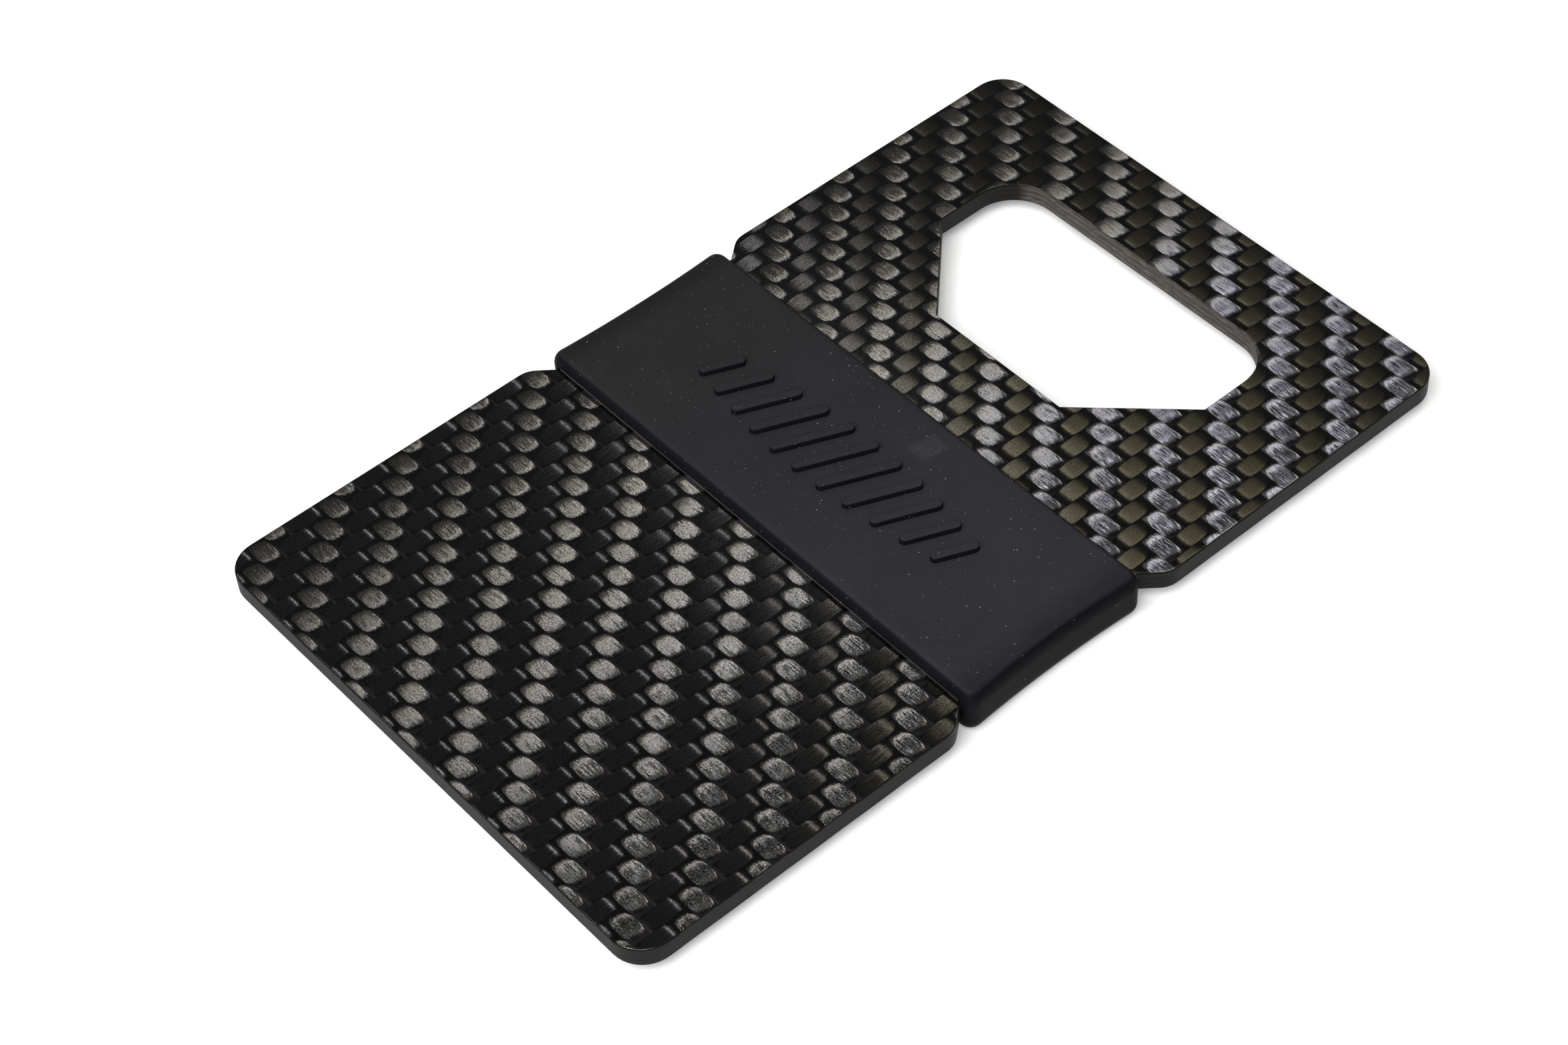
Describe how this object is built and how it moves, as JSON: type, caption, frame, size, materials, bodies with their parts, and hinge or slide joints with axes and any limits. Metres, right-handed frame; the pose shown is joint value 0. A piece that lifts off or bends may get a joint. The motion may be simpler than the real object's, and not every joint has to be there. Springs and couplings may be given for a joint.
{
  "type": "money clip",
  "caption": "Card-sized carbon-fibre plate with a crown-cap opener cut-out and an elastic waist band that grips notes and cards on both faces.",
  "frame": {"origin": "centre of the footprint, on the underside of the band's back run, which the clip rests on", "axes": "+X along the plate towards the opener, +Y across the plate along the band, +Z out of the front face with the grip ribs"},
  "size_m": [0.0886, 0.054, 0.0052],
  "materials": {
    "carbon_twill": "clear gloss resin over black and grey 2x2 twill carbon cloth",
    "carbon_core": "machined laminate edge with fine ply lines",
    "silicone": "matte moulded silicone, faintly dusty"
  },
  "bodies": {
    "plate": {"front_face_ply": "carbon_twill", "core_ply_1": "carbon_core", "core_ply_2": "carbon_core", "core_ply_3": "carbon_core", "core_ply_4": "carbon_core", "core_ply_5": "carbon_core", "back_face_ply": "carbon_twill"},
    "front_run": {"band_front": "silicone"},
    "back_run": {"band_back": "silicone"}
  },
  "joints": [
    {"name": "front_stretch", "type": "slide", "parent": "plate", "child": "front_run", "axis": [0, 0, 1], "range_m": [0, 0.005], "stiffness_N_per_m": 1800, "springref_m": -0.0015},
    {"name": "back_stretch", "type": "slide", "parent": "plate", "child": "back_run", "axis": [0, 0, -1], "range_m": [0, 0.005], "stiffness_N_per_m": 1800, "springref_m": -0.0015}
  ]
}
